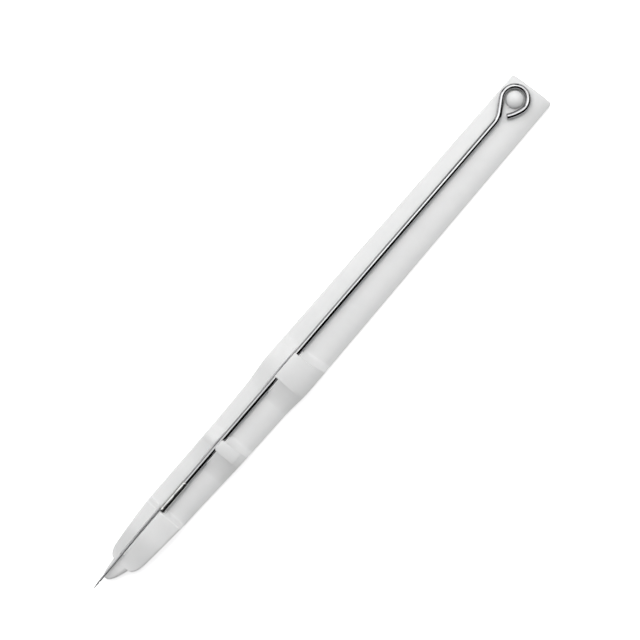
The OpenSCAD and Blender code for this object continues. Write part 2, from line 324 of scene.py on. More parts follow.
class Bench:
    """Short calls for laying out the nodes of one material."""

    def __init__(self, name: str) -> None:
        """Start an empty material with an output.

        Args:
            name: The material's name.
        """
        self.made = bpy.data.materials.new(name)
        self.made.use_nodes = True
        self.tree = self.made.node_tree
        self.tree.nodes.clear()
        self.output = self.tree.nodes.new("ShaderNodeOutputMaterial")

    def add(self, kind: str, inputs: dict[str, object] | None = None, **settings: object) -> bpy.types.Node:
        """Add a node.

        Args:
            kind: The node's type, without its Shader prefix.
            inputs: Values or sockets for its inputs, by name.
            **settings: Values for its own settings.

        Returns:
            The node.
        """
        node = self.tree.nodes.new("ShaderNode" + kind)
        for key, value in settings.items():
            setattr(node, key, value)
        for key, value in (inputs or {}).items():
            if isinstance(value, Socket):
                self.tree.links.new(value, node.inputs[key])
            else:
                node.inputs[key].default_value = value
        return node

    def where(self, scale: Point = (1, 1, 1), output: str = "Object") -> Socket:
        """Give stretched coordinates.

        Args:
            scale: Repeats per unit along each axis.
            output: Which of the coordinates to use.

        Returns:
            The socket of the coordinates.
        """
        source = self.add("TexCoord").outputs[output]
        return self.add("Mapping", {"Vector": source, "Scale": scale}).outputs["Vector"]

    def noise(self, where: Socket, scale: float, detail: float = 2.0, rough: float = 0.5) -> Socket:
        """Give a noise value.

        Args:
            where: Coordinates.
            scale: Repeats per unit of the coordinates.
            detail: Number of finer layers.
            rough: Strength of the finer layers.

        Returns:
            The socket of the value, about 0.5.
        """
        wanted = {"Vector": where, "Scale": scale, "Detail": detail, "Roughness": rough}
        return self.add("TexNoise", wanted).outputs["Fac"]

    def spread(self, value: Socket, low: float, high: float) -> Socket:
        """Turn a noise value into a range.

        Args:
            value: The noise, of which the part from 0.3 to 0.7 counts.
            low: What its lower end becomes.
            high: What its upper end becomes.

        Returns:
            The socket of the new value.
        """
        wanted = {"Value": value, "From Min": 0.3, "From Max": 0.7, "To Min": low, "To Max": high}
        return self.add("MapRange", wanted).outputs["Result"]

    def blend(self, share: Socket, a: Colour, b: Colour) -> Socket:
        """Mix two colours by a share.

        Args:
            share: 0 gives a, and 1 gives b.
            a: One colour.
            b: The other colour.

        Returns:
            The socket of the colour.
        """
        wanted = {"Factor": share, "A": (*a, 1), "B": (*b, 1)}
        return self.add("Mix", wanted, data_type="RGBA").outputs["Result"]

    def bump(self, height: Socket, strength: float, depth: float, under: Socket | None = None) -> Socket:
        """Turn a height into bumps.

        Args:
            height: The height.
            strength: How strongly it counts.
            depth: Size of the bumps, in metres.
            under: Bumps that these lie on.

        Returns:
            The socket of the normal.
        """
        wanted: dict[str, object] = {"Height": height, "Strength": strength, "Distance": depth}
        if under is not None:
            wanted["Normal"] = under
        return self.add("Bump", wanted).outputs["Normal"]

    def finish(self, inputs: dict[str, object]) -> bpy.types.Material:
        """Close the material with a principled surface.

        Args:
            inputs: The surface's inputs, by name.

        Returns:
            The material.
        """
        surface = self.add("BsdfPrincipled", inputs)
        self.tree.links.new(surface.outputs[0], self.output.inputs["Surface"])
        return self.made


@dataclass(frozen=True)
class WhiteMoulding:
    """White moulded plastic: satin, a little milky, with flow marks along the tool."""

    name: str = "white_moulding_plastic"
    pale: Colour = (0.765, 0.767, 0.765)
    deep: Colour = (0.735, 0.738, 0.738)
    roughness: Pair = (0.40, 0.56)
    milk: float = 0.12
    milk_depth: float = 0.0002
    flow_marks: Point = (60, 420, 420)
    wave_marks: Point = (90, 260, 260)
    grain_scale: float = 5200
    cloud_scale: float = 240

    def material(self) -> bpy.types.Material:
        """Mix the plastic, with its grain, flow marks and faint waviness.

        Returns:
            The material.
        """
        bench = Bench(self.name)
        flow = bench.noise(bench.where(self.flow_marks), 1.0, 3.0, 0.55)
        grain = bench.noise(bench.where(), self.grain_scale, 3.0, 0.6)
        waves = bench.noise(bench.where(self.wave_marks), 1.0, 1.5)
        clouds = bench.noise(bench.where(), self.cloud_scale, 4.0, 0.6)
        wavy = bench.bump(waves, 0.20, 0.0001)
        normal = bench.bump(grain, 0.12, 0.00002, wavy)
        return bench.finish({
            "Base Color": bench.blend(bench.spread(clouds, 0.0, 1.0), self.pale, self.deep),
            "Roughness": bench.spread(flow, *self.roughness),
            "IOR": 1.49,
            "Subsurface Weight": self.milk,
            "Subsurface Radius": (1.0, 0.95, 0.9),
            "Subsurface Scale": self.milk_depth,
            "Normal": normal,
        })


@dataclass(frozen=True)
class Steel:
    """Steel wire, with fine lines from the die it was drawn through."""

    name: str
    pale: Colour
    deep: Colour
    roughness: Pair
    line_depth: float = 0.000004
    line_marks: Point = (0.10, 46, 1)
    smear_marks: Point = (0.22, 5, 1)
    pitting: float = 0.0
    pit_depth: float = 0.00001
    pit_scale: float = 6500

    def material(self) -> bpy.types.Material:
        """Mix the steel, with lines along the wire, a faint mottle and any pits.

        Returns:
            The material.
        """
        bench = Bench(self.name)
        lines = bench.noise(bench.where(self.line_marks, "UV"), 1.0, 4.0, 0.65)
        smears = bench.noise(bench.where(self.smear_marks, "UV"), 1.0, 2.0)
        normal = bench.bump(lines, 0.5, self.line_depth)
        if self.pitting > 0:
            pits = bench.noise(bench.where(), self.pit_scale, 2.0, 0.6)
            normal = bench.bump(pits, self.pitting, self.pit_depth, normal)
        return bench.finish({
            "Base Color": bench.blend(bench.spread(smears, 0.0, 1.0), self.pale, self.deep),
            "Metallic": 1.0,
            "Roughness": bench.spread(lines, *self.roughness),
            "Normal": normal,
        })


@dataclass(frozen=True)
class PaleFloor:
    """Plain white paper sweep, lit bright."""

    name: str = "white_paper"
    glow: float = 0.55

    def material(self) -> bpy.types.Material:
        """Mix the paper, with a faint tooth.

        Returns:
            The material.
        """
        bench = Bench(self.name)
        tooth = bench.noise(bench.where(), 900, 3.0, 0.6)
        return bench.finish({
            "Base Color": bench.blend(tooth, (0.90, 0.90, 0.90), (0.93, 0.93, 0.93)),
            "Roughness": bench.spread(tooth, 0.85, 0.95),
            "Specular IOR Level": 0.1,
            "Emission Color": (1.0, 1.0, 1.0, 1.0),
            "Emission Strength": self.glow,
            "Normal": bench.bump(tooth, 0.1, 0.00005),
        })


def dress(piece: Piece, finish: Finish, slot: Slot, *nodes: str) -> Piece:
    """Give a piece its finish, and hide the solids of the model that it stands for.

    Args:
        piece: The piece.
        finish: Its finish.
        slot: The record's slot for the finish; not used.
        *nodes: The solids of the model that it replaces.

    Returns:
        The same piece.
    """
    piece.data.materials.clear()
    piece.data.materials.append(finish.material())
    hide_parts(*nodes)
    LOG.info("made %s with %d points", piece.name, len(piece.data.vertices))
    return piece


# ------------------------------------------------------------------ the moulding


@dataclass(frozen=True)
class Shoulder:
    """One long edge of the moulding in section."""

    half_w: float
    radius: float
    ends: float

    def middle(self, crown_r: float) -> Point:
        """Find the middle of the shoulder's round.

        Args:
            crown_r: Radius of the crown that it runs into.

        Returns:
            Its y, its height below the crown's top, and the angle at which it meets the crown.
        """
        y = self.half_w - self.radius * math.sin(self.ends)
        meets = math.asin(y / (crown_r - self.radius))
        return y, (crown_r - self.radius) * math.cos(meets) - crown_r, meets


@dataclass(frozen=True)
class Hump:
    """Where a clip's hump stands, and how far its back sweeps towards the eye at the right edge."""

    x: float
    length: float
    sweep: float

    @property
    def front(self) -> float:
        """Return the hump's end towards the tip."""
        return self.x - self.length / 2

    @property
    def back(self) -> float:
        """Return the hump's end towards the eye."""
        return self.x + self.length / 2


@dataclass(frozen=True)
class HolderForm:
    """Outside shape of the one-piece holder."""

    # along the holder
    toe_x: float = -71.7
    nose_x: float = -67.0
    strip_x: float = -51.0
    end_x: float = 75.0
    # heights
    floor_h: float = 3.0
    nose_h: float = 4.6
    clip_rise: float = 2.3
    lip_rise: float = 1.1
    wall: float = 0.8
    toe_lift: float = 1.6
    toe_lift_l: float = 10.0
    nose_rise_l: float = 9.0
    nose_ramp: float = 1.3
    # the humps, their slopes, their domed tops and their fall towards the right edge
    lower: Hump = Hump(-32.1, 3.0, 0.2)
    middle: Hump = Hump(-8.8, 7.0, 0.6)
    ramp_front: float = 5.2
    ramp_back: float = 2.0
    front_hollow: float = 1.4
    back_hollow: float = 1.6
    dome_drop: float = 0.22
    lip_dome_drop: float = 0.34
    side_fall: float = 0.28
    side_run: float = 5.5
    sweep_run: float = 5.0
    side_power: float = 1.3
    # widths
    nose_half_w: float = 2.2
    nose_corner_w: float = 1.5
    nose_corner_l: float = 3.0
    nose_power: float = 0.8
    nose_back_w: float = 10.0
    waist_w: float = 11.2
    clip_w: float = 12.4
    eye_end_w: float = 10.9
    flare_l: float = 10.0
    nose_lean: float = 0.5
    lean_l: float = 25.0
    # edges, with the angle at which each meets its wall
    crown_r: float = 30.0
    shoulder_r: float = 8.0
    nose_edge_r: float = 0.6
    left_edge_r: float = 0.08
    least_edge_r: float = 0.4
    nose_edge_a: float = math.radians(55)
    right_edge_a: float = math.radians(27)
    left_edge_a: float = math.radians(80)
    edge_change_l: float = 3.0
    wall_top: float = 0.12
    base_round: float = 0.12
    round_share: float = 0.293
    # the way that the rod lies in
    wire_y: float = 1.45
    way_left: float = 2.25
    way_right: float = 0.65

    @property
    def humps(self) -> tuple[Hump, Hump]:
        """Return both humps, the lower one first."""
        return self.lower, self.middle

    def stand(self, x: float, y: float, hump: Hump) -> float:
        """Say how much of a hump stands at a point.

        Args:
            x: Place along the holder.
            y: Place across it.
            hump: The hump.

        Returns:
            1 over the clip, falling to 0 down its hollow slopes.
        """
        back = hump.back + hump.sweep * max(0.0, (self.way_right - y) / self.sweep_run) ** self.side_power
        rising = min(1.0, max(0.0, (x - hump.front + self.ramp_front) / self.ramp_front))
        falling = min(1.0, max(0.0, (back + self.ramp_back - x) / self.ramp_back))
        return rising**self.front_hollow * falling**self.back_hollow

    def clip_h(self, y: float) -> float:
        """Return the height that a clip's top has across the holder, before its crown."""
        away = max(0.0, self.way_right - y) / self.side_run
        return self.floor_h + self.clip_rise * (1 - self.side_fall * away**self.side_power)

    def dome(self, x: float, y: float) -> float:
        """Say how far the humps' gently domed tops lie under their full height.

        Args:
            x: Place along the holder.
            y: Place across it.

        Returns:
            The drop at that point.
        """
        lowest = self.lip_dome_drop if y > self.way_left else self.dome_drop
        drop = 0.0
        for hump in self.humps:
            drop += lowest * min(1.0, abs(x - hump.x) / (hump.length / 2)) ** 2 * self.stand(x, y, hump)
        return drop

    def back_h(self, x: float, y: float = 0.0) -> float:
        """Measure the height of the holder's back.

        Args:
            x: Place along the holder.
            y: Place across it.

        Returns:
            The height, before the crown and the domes.
        """
        humps = sum(self.stand(x, y, hump) for hump in self.humps)
        rise = self.lip_rise if y > self.wire_y else self.clip_h(y) - self.floor_h
        nose = (self.nose_h - self.floor_h) * (1 - smooth(x, self.strip_x - self.nose_ramp, self.strip_x))
        return self.floor_h + rise * humps + nose * smooth(x, self.nose_x, self.nose_x + self.nose_rise_l)

    def half_w(self, x: float) -> float:
        """Measure half the holder's width.

        Args:
            x: Place along the holder.

        Returns:
            Half the width there, before the nose's lean.
        """
        if x < self.strip_x:
            along = max(0.0, x - self.nose_x)
            corner = 1 - min(1.0, along / self.nose_corner_l)
            widening = self.nose_back_w / 2 - self.nose_half_w - self.nose_corner_w
            share = (along / (self.strip_x - self.nose_x)) ** self.nose_power
            return self.nose_half_w + self.nose_corner_w * math.sqrt(1 - corner**2) + widening * share
        if x < self.middle.x:
            widening = (self.waist_w - self.nose_back_w) / 2
            flare_x = self.middle.x - self.flare_l
            flare = (self.clip_w - self.waist_w) / 2 * smooth(x, flare_x, self.middle.x - 1)
            share = min(1.0, (x - self.strip_x) / (flare_x - self.strip_x))
            return self.nose_back_w / 2 + widening * share + flare
        taper = (self.clip_w - self.eye_end_w) / 2
        return self.clip_w / 2 - taper * (x - self.middle.x) / (self.end_x - self.middle.x)

    def lean(self, x: float) -> float:
        """Return how far the outline leans to the left at x."""
        return self.nose_lean * (1 - smooth(x, self.strip_x - 5, self.strip_x + self.lean_l))

    def left(self, x: float, skin: float, off: float = 0.0) -> Shoulder:
        """Return the left edge at x, on the outside or a skin inside it, less what a rounded end takes."""
        r = max(self.left_edge_r - skin, self.least_edge_r)
        return Shoulder(self.half_w(x) + self.lean(x) - skin - off, r, self.left_edge_a)

    def right(self, x: float, skin: float, off: float = 0.0) -> Shoulder:
        """Shape the right edge.

        Args:
            x: Place along the holder.
            skin: How far inside the outside, 0 or the wall.
            off: What a rounded end takes off the half width.

        Returns:
            The edge there.
        """
        share = smooth(x, self.strip_x, self.strip_x + self.edge_change_l)
        r = self.nose_edge_r + (self.shoulder_r - self.nose_edge_r) * share
        ends = self.nose_edge_a + (self.right_edge_a - self.nose_edge_a) * share
        return Shoulder(self.half_w(x) - self.lean(x) - skin - off, max(r - skin, self.least_edge_r), ends)

    def base_z(self, x: float) -> float:
        """Return the height of the underside at x, which rises towards the toe."""
        return self.toe_lift * (1 - smooth(x, self.toe_x - 1, self.toe_x + self.toe_lift_l))

    def top_z(self, y: float, edge: Shoulder, h: float, skin: float) -> float:
        """Give the height of the back across a section.

        Args:
            y: Distance from the centre line.
            edge: The long edge on that side.
            h: Height of the back.
            skin: How far inside the outside, 0 or the wall.

        Returns:
            The height.
        """
        rc = self.crown_r - skin
        mid_y, mid_z, meets = edge.middle(rc)
        if abs(y) <= rc * math.sin(meets):
            return h - skin - rc + math.sqrt(rc * rc - y * y)
        return h - skin + mid_z + math.sqrt(max(0.0, edge.radius**2 - (abs(y) - mid_y) ** 2))

    def side(self, edge: Shoulder, h: float, skin: float, base: float, y_from: float, n: int) -> list[Pair]:
        """Go from a point on the back round the shoulder and down the wall.

        Args:
            edge: The long edge.
            h: Height of the back there.
            skin: How far inside the outside, 0 or the wall.
            base: Height of the wall's foot.
            y_from: Where on the back to start from.
            n: Number of stops as far as the top of the wall.

        Returns:
            Stops as distance from the centre line and height, without the first point.
        """
        rc, r = self.crown_r - skin, edge.radius
        mid_y, mid_z, meets = edge.middle(rc)
        brow = rc * math.sin(meets)
        start = meets if y_from <= brow else math.asin(min(1.0, (y_from - mid_y) / r))
        flat = max(0.0, brow - y_from)
        total = flat + r * (edge.ends - start)
        stops: list[Pair] = []
        for k in range(1, n + 1):
            s = total * k / n
            if s < flat:
                y = y_from + s
                stops.append((y, h - skin - rc + math.sqrt(rc * rc - y * y)))
            else:
                a = start + (s - flat) / r
                stops.append((mid_y + r * math.sin(a), h - skin + mid_z + r * math.cos(a)))
        b, part = self.base_round, self.round_share * self.base_round
        out = 1.0 if skin == 0 else -1.0
        wall_y, wall_z = edge.half_w, stops[-1][1]
        stops += [(wall_y, z) for z in (wall_z - self.wall_top, (wall_z + base + b) / 2, base + b)]
        return [*stops, (wall_y - out * part, base + part), (wall_y - out * b, base)]


@dataclass
class HolderPart:
    """One region of the moulding, laid out as rows along it and columns across it."""

    form: HolderForm
    finish: Finish
    edge_r: float = 0.12
    side_stops: int = 18
    wall_stops: int = 5
    rim: float = 0.06

    @property
    def lead(self) -> int:
        """Return how many points of a row come before its first column on the back."""
        return self.side_stops + self.wall_stops

    def around(self, at: float, way: float = 1.0) -> list[float]:
        """Return the places at which a rounded edge at a value is cut, going the way given."""
        return [at + way * share * self.edge_r for share in EDGE_STEPS]

    def section(
        self,
        x: float,
        columns: list[float],
        skin: float,
        z_of: Callable[[float, float, float], float],
        off: Pair = (0.0, 0.0),
        fall: float = 0.0,
    ) -> list[Pair]:
        """Make one row across the moulding.

        Args:
            x: The row's place.
            columns: Columns on the back, from left to right.
            skin: How far inside the outside, 0 or the wall.
            z_of: Turns x, y and the plain height into the height with its cuts.
            off: What a rounded end takes off the half width, on the left and on the right.
            fall: What a rounded end takes off the height.

        Returns:
            The row as y and z, from the left foot to the right foot.
        """
        form, n = self.form, self.side_stops
        base = form.base_z(x)
        left, right = form.left(x, skin, off[0]), form.right(x, skin, off[1])
        domed = skin == 0 and x > form.strip_x
        heights = [form.back_h(x, y) - fall for y in columns]
        top = []
        for y, h in zip(columns, heights):
            top.append((y, z_of(x, y, form.top_z(y, left if y > 0 else right, h, skin))))
        left_h = heights[0] - (form.dome(x, columns[0]) if domed else 0.0)
        left_row = form.side(left, left_h, skin, base, columns[0], n)
        right_row = form.side(right, heights[-1], skin, base, -columns[-1], n)
        fallen = []
        for y, z in right_row[: n + 1]:
            dome = form.dome(x, -y) if domed else 0.0
            fallen.append((-y, z + form.back_h(x, -y) - fall - heights[-1] - dome))
        return [*reversed(left_row), *top, *fallen, *[(-y, z) for y, z in right_row[n + 1 :]]]


@dataclass
class LongStrip(HolderPart):
    """The long strip that the rod lies on, with both humps and the left lip."""

    floor_edge_h: float = 3.45
    seam: float = 0.02
    root_y: float = -3.7
    bed_r: float = 0.93
    bed_end: float = -43.4
    bed_run: float = 0.15
    rod_z: float = 3.73
    end_r: float = 0.7
    right_corner_r: float = 0.8
    left_corner_r: float = 0.3
    slant: float = math.tan(math.radians(3.6))
    slant_from: float = 40.0
    plain_rows: int = 72
    slope_rows: int = 26
    slope_back_l: float = 3.4
    end_l: float = 1.5
    end_rows: tuple[float, ...] = (1.2, 0.8, 0.6, 0.42, 0.3, 0.2, 0.12, 0.06, 0.02, 0.0)

    def floor_edge(self, start: float, end: float) -> float:
        """Find where the floor under the rod stops on a slope.

        Args:
            start: The slope's foot.
            end: The slope's top.

        Returns:
            The place at which the back reaches floor_edge_h.
        """
        low, high = start, end
        for _ in range(40):
            mid = (low + high) / 2
            if self.form.back_h(mid, self.form.way_right) < self.floor_edge_h:
                low = mid
            else:
                high = mid
        return low

    def openings(self) -> list[Pair]:
        """Find where the way under each hump opens and closes.

        Returns:
            The two places for each hump.
        """
        found = []
        for hump in self.form.humps:
            opens = self.floor_edge(hump.front - self.form.ramp_front, hump.front)
            found.append((opens, self.floor_edge(hump.back + self.form.ramp_back, hump.back)))
        return found

    def stations(self) -> list[float]:
        """Lay out the rows, close together on the slopes and at the eye's end.

        Returns:
            The rows' places along the strip.
        """
        form, seam, slope_rows = self.form, self.seam, self.slope_rows
        last = form.end_x - form.eye_end_w / 2 * self.slant
        places = steps(form.strip_x, last - self.end_l, self.plain_rows)
        for hump, (a, b) in zip(form.humps, self.openings()):
            front, back = hump.front, hump.back
            clear_from, clear_to = front - form.ramp_front - 0.3, back + self.slope_back_l + 0.1
            places = [p for p in places if not clear_from < p < clear_to]
            places += steps(front - form.ramp_front, front - seam, slope_rows) + steps(front, back, 8)
            places += steps(back + seam, back + self.slope_back_l, slope_rows)
            places += self.around(a, -1.0) + self.around(b)
        places += [self.bed_end + d for d in (-0.3, -0.1, 0.0, 0.1, 0.3)]
        return ordered(places + [last - d for d in self.end_rows])

    def columns(self) -> list[float]:
        """Lay out the columns on the back, close together at the way's edges.

        Returns:
            The columns, from left to right.
        """
        left, right = self.form.way_left, self.form.way_right
        places = [self.form.wire_y + off for off in (-0.58, -0.4, -0.2, 0.0, 0.2, 0.4, 0.58)]
        places += [3.6, 3.2, 2.85, *self.around(left), left - 0.03, left - 0.1]
        places += [right + 0.1, right + 0.03, *self.around(right, -1.0)]
        places += [0.3, -0.3, -1.0, -1.6, -2.2, -2.7, -3.1, -3.4, self.root_y]
        return ordered(places)[::-1]

    def top(self, x: float, y: float, z: float) -> float:
        """Cut the way and the sleeve's bed into the back.

        Args:
            x: Place along the strip.
            y: Place across it.
            z: Height of the uncut back.

        Returns:
            The height after the cuts.
        """
        form, left, right = self.form, self.form.way_left, self.form.way_right
        if right < y < left:
            z = min(z, form.floor_h)
            off = abs(y - form.wire_y)
            if off < self.bed_r:
                bed = self.rod_z - math.sqrt(self.bed_r**2 - off**2)
                gone = smooth(x, self.bed_end - self.bed_run, self.bed_end + self.bed_run)
                z -= max(0.0, z - bed) * (1 - gone)
            for a, b in self.openings():
                if a - self.edge_r < x < (a + b) / 2:
                    z -= rounded(a - x, self.edge_r)
                elif (a + b) / 2 <= x < b + self.edge_r:
                    z -= rounded(x - b, self.edge_r)
            return z
        z -= form.dome(x, y)
        r = min(self.edge_r, max(0.0, (z - form.floor_h) / 2))
        return z - rounded(y - left if y >= left else right - y, r)

    def under(self, x: float, y: float, z: float) -> float:
        """Round the underside of the way's edges.

        Args:
            x: Place along the strip.
            y: Place across it.
            z: Height of the plain underside.

        Returns:
            The height after rounding.
        """
        left, right = self.form.way_left, self.form.way_right
        if not right < y < left and any(a <= x <= b for a, b in self.openings()):
            return z + rounded(y - left if y >= left else right - y, self.edge_r)
        return z

    def build(self) -> Piece:
        """Build and dress the strip.

        Returns:
            The piece.
        """
        form, columns, stations = self.form, self.columns(), self.stations()
        last = stations[-1]
        outer: list[list[Point]] = []
        inner: list[list[Point]] = []
        for x, inset in [(x, 0.0) for x in stations] + [(last, self.rim)]:
            d = last - x
            slant = self.slant * smooth(x, self.slant_from, last)
            off = (rounded(d, self.left_corner_r) + inset, rounded(d, self.right_corner_r) + inset)
            row = self.section(x, columns, 0.0, self.top, off, rounded(d, self.end_r) + inset)
            outer.append([(x - slant * y, y, z) for y, z in row])
            xi = min(x, last - form.wall - max(0.0, self.end_l - d) * 0.01)
            row = self.section(xi, columns, form.wall, self.under)
            inner.append([(xi - slant * y, y, z) for y, z in row])
        windows = [(hump.front - self.seam, hump.back + self.seam) for hump in form.humps]
        ways = self.openings()

        def is_open(i: int, j: int) -> bool:
            """Say whether a cell is left open.

            Args:
                i: The cell's row.
                j: Its column.

            Returns:
                True in the way under a hump, and under a clip.
            """
            k = j - self.lead
            if not 0 <= k < len(columns) - 1 or i >= len(stations) - 1:
                return False
            x, y = (stations[i] + stations[i + 1]) / 2, (columns[k] + columns[k + 1]) / 2
            if form.way_right < y < form.way_left and any(a < x < b for a, b in ways):
                return True
            return self.root_y < y < form.way_left and any(a < x < b for a, b in windows)

        piece = walled(outer, inner, is_open, False, True).piece("long_strip")
        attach(piece, Body.HOLDER.value)
        return dress(piece, self.finish, Slot.MOULDING, "holder_strip")


@dataclass
class NoseGuard(HolderPart):
    """The raised guard over the needle, slit along its top."""

    slit_w: float = 0.8
    slit_x: float = -65.5
    mouth_x: float = -52.0
    mouth_end: float = -51.25
    mouth_r: float = 0.93
    rod_z: float = 3.73
    slit_y: float = 1.95
    slit_slope: float = 0.0084
    slit_lead: float = 1.1
    front_wall: float = 0.8
    front_l: float = 4.0
    front_rows: tuple[float, ...] = (0, 0.03, 0.08, 0.15, 0.25, 0.4, 0.6, 0.8, 1.05, 1.35, 1.7, 2.2)

    def slit_mid(self, x: float) -> float:
        """Return where the slit's middle lies across the guard at x."""
        return self.slit_y - (self.mouth_x + self.slit_lead - x) * self.slit_slope

    def stations(self) -> list[float]:
        """Lay out the rows, close together round the front and on the rear slope.

        Returns:
            The rows' places along the guard.
        """
        nose, strip = self.form.nose_x, self.form.strip_x
        places = [nose + d for d in self.front_rows] + [self.mouth_end]
        places += steps(nose + 3, self.mouth_x - 0.5, 13) + steps(strip - self.form.nose_ramp, strip, 13)
        return ordered(places + self.around(self.slit_x, -1.0) + self.around(self.mouth_x, -1.0))

    def columns(self, x: float, w: float) -> list[float]:
        """Lay the columns along the slit.

        Args:
            x: The row's place.
            w: Half the guard's width there.

        Returns:
            The columns on the back, from left to right.
        """
        s, half, r, mid = self.slit_mid(x), self.slit_w / 2, self.edge_r, self.form.wire_y
        places = [mid - self.mouth_r - share * r for share in reversed(EDGE_STEPS)] + [mid - 0.68]
        places += [s - half - share * r for share in reversed(EDGE_STEPS)] + [s - half / 2, s, s + half / 2]
        places += [s + half + share * min(r, 0.1) for share in EDGE_STEPS]
        places += [mid + self.mouth_r + share * r for share in EDGE_STEPS]
        squeeze = min(1.0, (w - 0.12) / places[-1])
        places = [p * squeeze if p > 0 else p for p in places]
        return [*reversed(places), 0.2, -0.2, -0.5]

    def top(self, x: float, y: float, z: float) -> float:
        """Cut the slit's round edges and the sleeve's bed into the back.

        Args:
            x: Place along the guard.
            y: Place across it.
            z: Height of the uncut back.

        Returns:
            The height after the cuts.
        """
        off = abs(y - self.form.wire_y)
        if x > self.mouth_x - self.edge_r:
            if x > self.mouth_end - 0.01 and off < self.mouth_r:
                return min(z, self.rod_z - math.sqrt(self.mouth_r**2 - off**2))
            fade = 1 - smooth(x, self.mouth_end - 0.3, self.mouth_end)
            d = math.hypot(max(0.0, off - self.mouth_r), max(0.0, self.mouth_x - x))
            return z - rounded(d, self.edge_r) * fade
        if x > self.slit_x - self.edge_r:
            beside = abs(y - self.slit_mid(x)) - self.slit_w / 2
            return z - rounded(math.hypot(max(0.0, beside), max(0.0, self.slit_x - x)), self.edge_r)
        return z

    def build(self) -> Piece:
        """Build and dress the guard.

        Returns:
            The piece.
        """
        form, stations = self.form, self.stations()
        outer: list[list[Point]] = []
        inner: list[list[Point]] = []
        grid: list[list[float]] = []
        for x, inset in [(stations[0], self.rim)] + [(x, 0.0) for x in stations]:
            columns = self.columns(x, form.left(x, 0.0, inset).half_w)
            grid.append(columns)
            row = self.section(x, columns, 0.0, self.top, (inset, inset), inset)
            outer.append([(x, y, z) for y, z in row])
            xi = x
            if x < form.nose_x + self.front_l:
                share = 1 - self.front_wall / self.front_l
                xi = form.nose_x + self.front_wall + max(0.0, x - form.nose_x) * share
            squeeze = min(1.0, (form.left(xi, form.wall).half_w - 0.1) / columns[0])
            near = [y * squeeze if y > 0 else y for y in columns]
            row = self.section(xi, near, form.wall, lambda x, y, z: z)
            inner.append([(xi, y, z) for y, z in row])

        def is_open(i: int, j: int) -> bool:
            """Say whether a cell is left open.

            Args:
                i: The cell's row.
                j: Its column.

            Returns:
                True in the slit and in the mouth that the sleeve comes out of.
            """
            k = j - self.lead
            if not 0 <= k < len(grid[0]) - 1 or i == 0:
                return False
            x = (outer[i][0][0] + outer[i + 1][0][0]) / 2
            y = (grid[i][k] + grid[i + 1][k] + grid[i][k + 1] + grid[i + 1][k + 1]) / 4
            if self.mouth_x < x < self.mouth_end:
                return abs(y - form.wire_y) < self.mouth_r
            return self.slit_x < x < self.mouth_x and abs(y - self.slit_mid(x)) < self.slit_w / 2

        piece = walled(outer, inner, is_open, True, False).piece("nose_guard_shell")
        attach(piece, Body.HOLDER.value)
        return dress(piece, self.finish, Slot.MOULDING, "nose_guard")


@dataclass
class Tongue(HolderPart):
    """The low rounded tongue under the needle's point."""

    length: float = 4.7
    toe_y: float = 1.05
    root_right: float = 1.6
    root_left: float = 2.75
    toe_drop: float = 0.6
    foot_r: float = 0.25
    foot_part: float = 0.29
    embed: float = 0.4
    rows: tuple[float, ...] = (
        0.0008, 0.003, 0.007, 0.014, 0.025, 0.04, 0.06, 0.09, 0.13,
        0.18, 0.24, 0.32, 0.42, 0.54, 0.68, 0.84, 1.0,
    )

    def build(self) -> Piece:
        """Build and dress the tongue.

        Returns:
            The piece.
        """
        form = self.form
        rings: list[list[Point]] = []
        lengths: list[float] = []
        for t in [*self.rows, 1.0 + self.embed / self.length]:
            grown = min(t, 1.0)
            right = self.toe_y - (self.toe_y + self.root_right) * math.sqrt(grown)
            left = self.toe_y + (self.root_left - self.toe_y) * grown**0.2
            w, mid = (left - right) / 2, (left + right) / 2
            x = form.toe_x + self.length * t
            h = form.floor_h - self.toe_drop * (1 - grown) ** 2
            r, rc, base = 0.5 * w, form.crown_r, form.base_z(x)
            edge = min(self.foot_r, 0.3 * w)
            part = self.foot_part * edge
            a0 = math.asin((w - r) / (rc - r))
            z = max(h - rc + (rc - r) * math.cos(a0), base + edge + 0.05)
            top = [(r * math.sin(a) + (w - r), z + r * math.cos(a)) for a in steps(math.pi / 2, a0, 8)]
            brow = rc * math.sin(a0) * 0.75
            crown = [(y, h - rc + math.sqrt(rc * rc - y * y)) for y in steps(brow, 0.0, 3)]
            half = [(w - edge, base), (w - part, base + part), (w, base + edge), *top, *crown]
            ring = [*half, *[(-y, z) for y, z in reversed(half[:-1])]]
            rings.append([(x, mid + y, z) for y, z in reversed(ring)])
            lengths.append(x)
        piece = lofted(rings, lengths).piece("tip_tongue_moulding")
        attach(piece, Body.HOLDER.value)
        return dress(piece, self.finish, Slot.MOULDING, "tip_tongue")


